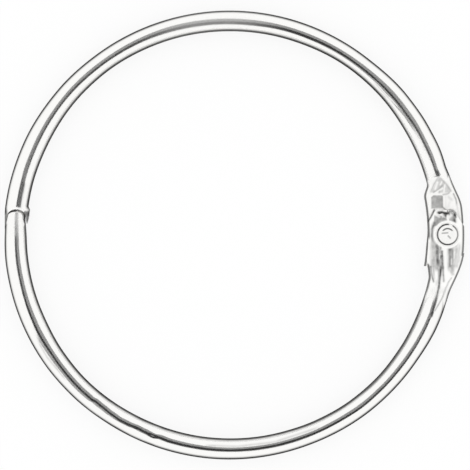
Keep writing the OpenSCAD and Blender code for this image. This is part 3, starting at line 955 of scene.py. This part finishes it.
# A sheet of points, wrapped round the rivet's axis and down its profile
around, down = 120, 91
grid_inputs = {"Size X": 2.0, "Size Y": 2.0, "Vertices X": around + 1, "Vertices Y": down}
grid = g.node("GeometryNodeMeshGrid", {}, grid_inputs)
place = g.node("GeometryNodeInputPosition")
split = rivet_tree.nodes.new("ShaderNodeSeparateXYZ")
rivet_tree.links.new(place.socket, split.inputs[0])
turn_round = Wire(g, split.outputs[0]) * math.pi
way = Wire(g, split.outputs[1])
upper = way.math("SIGN", way)
reach = way.math("ABSOLUTE", way)
on_shank = g.node("ShaderNodeMapRange", {}, {0: reach, 1: 0.0, 2: 0.1})
under_head = g.node("ShaderNodeMapRange", {}, {0: reach, 1: 0.1, 2: 0.2})
over_head = g.node("ShaderNodeMapRange", {}, {0: reach, 1: 0.2, 2: 1.0})
lean = (1 - over_head) * (math.pi / 2)
power = 2 / size["Squareness"]
radius = size["Shank radius"] + (size["Head radius"] - size["Shank radius"]) * under_head
radius = radius * lean.math("SINE", lean) ** power
rivet_h = size["Seat"] * on_shank + size["Head height"] * lean.math("COSINE", lean) ** power
px = radius * turn_round.math("COSINE", turn_round)
py = radius * turn_round.math("SINE", turn_round)
off_centre = (px * px + (py + 0.1) * (py + 0.1)) ** 0.5 / size["Crater radius"]
crater = size["Crater depth"] * (1 - off_centre.math("MINIMUM", off_centre, 1.0))
rivet_h = rivet_h - crater * over_head.ease(0.2, 0.5)
point = g.node("ShaderNodeCombineXYZ", {}, {0: px, 1: py, 2: rivet_h * upper})
point = g.node("ShaderNodeVectorMath", {"operation": "SCALE"}, {0: point, 3: MM})
point = g.node("ShaderNodeVectorMath", {"operation": "ADD"}, {0: point, 1: (rivet_x * MM, 0, 0)})
shape = g.node("GeometryNodeSetPosition", {}, {"Geometry": grid, "Position": point})
shape = g.node("GeometryNodeMergeByDistance", {}, {"Geometry": shape, "Distance": 1e-6})
shape = g.node("GeometryNodeRealizeInstances", {}, {0: shape})
shape = g.node("GeometryNodeSetMaterial", {}, {"Geometry": shape})
rivet_tree.links.new(group_in.outputs["Material"], shape.socket.node.inputs["Material"])
group_out = rivet_tree.nodes.new("NodeGroupOutput")
rivet_tree.links.new(shape.socket, group_out.inputs[0])


def punched(name, colour, gloss):
    """Nickel plate on the rivet, with painted shade round the head's rim, and dark punch marks."""
    mat, g = empty_material(name)
    place = g.node("ShaderNodeTexCoord", output=3)
    # Millimetres from the rivet's axis
    local = g.node(
        "ShaderNodeMapping", {"vector_type": "POINT"},
        {"Vector": place, "Location": (-rivet_x, 0, 0), "Scale": (1 / MM, 1 / MM, 1 / MM)},
    )
    split = mat.node_tree.nodes.new("ShaderNodeSeparateXYZ")
    mat.node_tree.links.new(local.socket, split.inputs[0])
    x, y = Wire(g, split.outputs[0]), Wire(g, split.outputs[1])
    r = (x * x + y * y) ** 0.5
    stain = g.node("ShaderNodeTexNoise", {}, {"Vector": place, "Scale": 1400.0, "Detail": 3.0})
    fine = g.node("ShaderNodeTexNoise", {}, {"Vector": place, "Scale": 5000.0, "Detail": 2.0})

    def stroke(x0, y0, x1, y1, width):
        """A short punch mark between two points measured from the rivet's axis."""
        dx, dy = x1 - x0, y1 - y0
        length = math.hypot(dx, dy)
        run = ((x - x0) * dx + (y - y0) * dy) / length**2
        off = ((x - x0) * dy - (y - y0) * dx) / length
        near = 1 - off.math("ABSOLUTE", off).ease(width * 0.4, width)
        return near * run.ease(-0.15, 0.1) * (1 - run.ease(0.9, 1.15))

    # Painted shade round the head's rim, where it meets the seat: darker at the top, bottom and
    # left, and almost none at one place at the upper right
    rim = r.ease(1.68, 1.8) * (0.9 + 0.07 * y * y - 0.06 * x)
    gap_x, gap_y = x - 0.6, y - 1.75
    gap = ((gap_x * gap_x + gap_y * gap_y) ** 0.5).ease(0.2, 0.5)
    # The punch left an arc and two strokes
    off = r - 1.1
    punch_arc = (1 - off.math("ABSOLUTE", off).ease(0.07, 0.2)) * y.ease(0.55, 0.8)
    marks = punch_arc + stroke(-1.1, 0.22, 0.1, 0.32, 0.2) * 0.55
    marks = marks + stroke(0.05, -0.2, 0.55, -0.75, 0.22) * 0.6
    dark = rim * (0.05 + 0.9 * gap) + marks * (0.8 + 0.3 * stain)
    face = 1 - r.ease(1.72, 1.84)
    tone = (1 - 0.85 * dark) * (1 - 0.03 * stain)
    base = g.node("ShaderNodeVectorMath", {"operation": "SCALE"}, {0: colour, 3: tone})
    rough = gloss + 0.15 * stain + 0.5 * face
    bump = g.node(
        "ShaderNodeBump", {},
        {"Strength": 0.3, "Distance": grain_h, "Height": stain + 0.4 * fine},
    )
    shader = g.node("ShaderNodeBsdfPrincipled", {}, {
        "Base Color": base, "Metallic": 1 - 0.75 * face, "Roughness": rough, "Normal": bump,
        "Specular Tint": plate_tint,
    })
    g.node("ShaderNodeOutputMaterial", {}, {"Surface": shader})
    return mat


rivet = linked("hinge_rivet", bpy.data.meshes.new("hinge_rivet"))
build = rivet.modifiers.new("build", "NODES")
build.node_group = rivet_tree
rivet_finish = punched("hinge_rivet", (0.97, 0.965, 0.95), 0.1)
for item in rivet_tree.interface.items_tree:
    if item.in_out == "INPUT":
        build[item.identifier] = rivet_sizes.get(item.name, rivet_finish)
bpy.context.view_layer.update()
rivet_mesh = with_modifiers(rivet)
rivet.modifiers.remove(build)
rivet.data = rivet_mesh
face_outwards(rivet_mesh)
smooth(rivet, 50)
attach(rivet, "fixed_half")
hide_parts("hinge_rivet")

# ---------------------------------------------------------------------------------------------
# Floor. White paper, level with the underside of the ring. It glows towards the camera and in
# reflections, so that it stays white, and shows the ring's shadow with the rest of its light.
# ---------------------------------------------------------------------------------------------
floor_reach = 1.5
floor_z = -tube_r * MM
floor_glow = 0.82
floor_mesh = bpy.data.meshes.new("floor")
corners = [(-1, -1), (1, -1), (1, 1), (-1, 1)]
corners = [(x * floor_reach, y * floor_reach, floor_z) for x, y in corners]
floor_mesh.from_pydata(corners, [], [(0, 1, 2, 3)])
floor = linked("floor", floor_mesh)
paper, g = empty_material("paper")
seen = g.node("ShaderNodeLightPath", output="Is Camera Ray")
seen = seen + g.node("ShaderNodeLightPath", output="Is Glossy Ray")
seen = seen + g.node("ShaderNodeLightPath", output="Is Transmission Ray")
matt = g.node("ShaderNodeBsdfDiffuse", {}, {"Color": (0.97, 0.97, 0.97, 1)})
lit = g.node("ShaderNodeEmission", {}, {"Color": (1, 1, 1, 1), "Strength": 1.0})
blend = g.node("ShaderNodeMixShader", {}, {0: seen * floor_glow, 1: matt, 2: lit})
g.node("ShaderNodeOutputMaterial", {}, {"Surface": blend})
floor_mesh.materials.append(paper)

# ---------------------------------------------------------------------------------------------
# Overhead cards and light. A black card and two grey ones hang over the ring, round the lens and
# towards the front, and draw the dark line along the top of the bright tube. The camera doesn't
# see them. Apart from the floor's glow, all light comes from a plain white world.
# ---------------------------------------------------------------------------------------------
card_z = 1.1
# Cards hang apart by this height for each step from black to white, so that they don't meet
card_gap = 0.01


def card(name, outline, shade):
    """A card over the ring. Its corners are given by the tilt, in degrees, at which a bright
    surface shows them: to the right and to the back."""
    points = []
    for right, back in outline:
        tilt = math.hypot(right, back)
        far = card_z * math.tan(math.radians(2 * tilt)) / tilt
        points.append((right * far, back * far, card_z + shade * card_gap))
    mesh = bpy.data.meshes.new(name)
    mesh.from_pydata(points, [], [tuple(range(len(points)))])
    obj = linked(name, mesh)
    mat = bpy.data.materials.new(name)
    mat.use_nodes = True
    shader = mat.node_tree.nodes["Principled BSDF"]
    shader.inputs["Base Color"].default_value = (shade, shade, shade, 1)
    shader.inputs["Roughness"].default_value = 1
    shader.inputs["Specular IOR Level"].default_value = 0
    mesh.materials.append(mat)
    obj.visible_diffuse = False
    obj.visible_camera = False


card(
    "black card",
    [(-9, 2.6), (-9, -6), (-7, -15), (5, -15), (9, -9), (9, -2.5), (2, -1), (-1, 0.2)],
    0.04,
)
card("grey card", [(-9, 12), (-9, -6), (12, -4), (12, 12)], 0.3)
card("front card", [(-8, -4), (-20, -12), (-15, -17), (-4, -18), (6, -18), (6, -12)], 0.35)

world = bpy.data.worlds.new("studio")
bpy.context.scene.world = world
world.use_nodes = True
world.node_tree.nodes["Background"].inputs["Color"].default_value = (1, 1, 1, 1)
world.node_tree.nodes["Background"].inputs["Strength"].default_value = 1.03

# ---------------------------------------------------------------------------------------------
# Camera. It looks straight down from a metre above the ring, which fills a known part of the
# view. Pixel sizes are those of a 470 pixel square picture.
# ---------------------------------------------------------------------------------------------
picture_px = 470
ring_px_x, ring_px_y, ring_px_r = 229.7, 234.5, 225.4
mm_per_px = (ring_r + tube_r) / ring_px_r
distance = 1.0
sensor_w = 36
camera_data = bpy.data.cameras.new("camera")
camera_data.sensor_width = sensor_w
camera_data.lens = sensor_w * distance / (picture_px * mm_per_px * MM)
camera_data.clip_start = 0.01
camera = linked("camera", camera_data)
camera.location = (
    (picture_px / 2 - ring_px_x) * mm_per_px * MM,
    (ring_px_y - picture_px / 2) * mm_per_px * MM,
    distance,
)
bpy.context.scene.camera = camera
bpy.context.scene.view_settings.view_transform = "Standard"
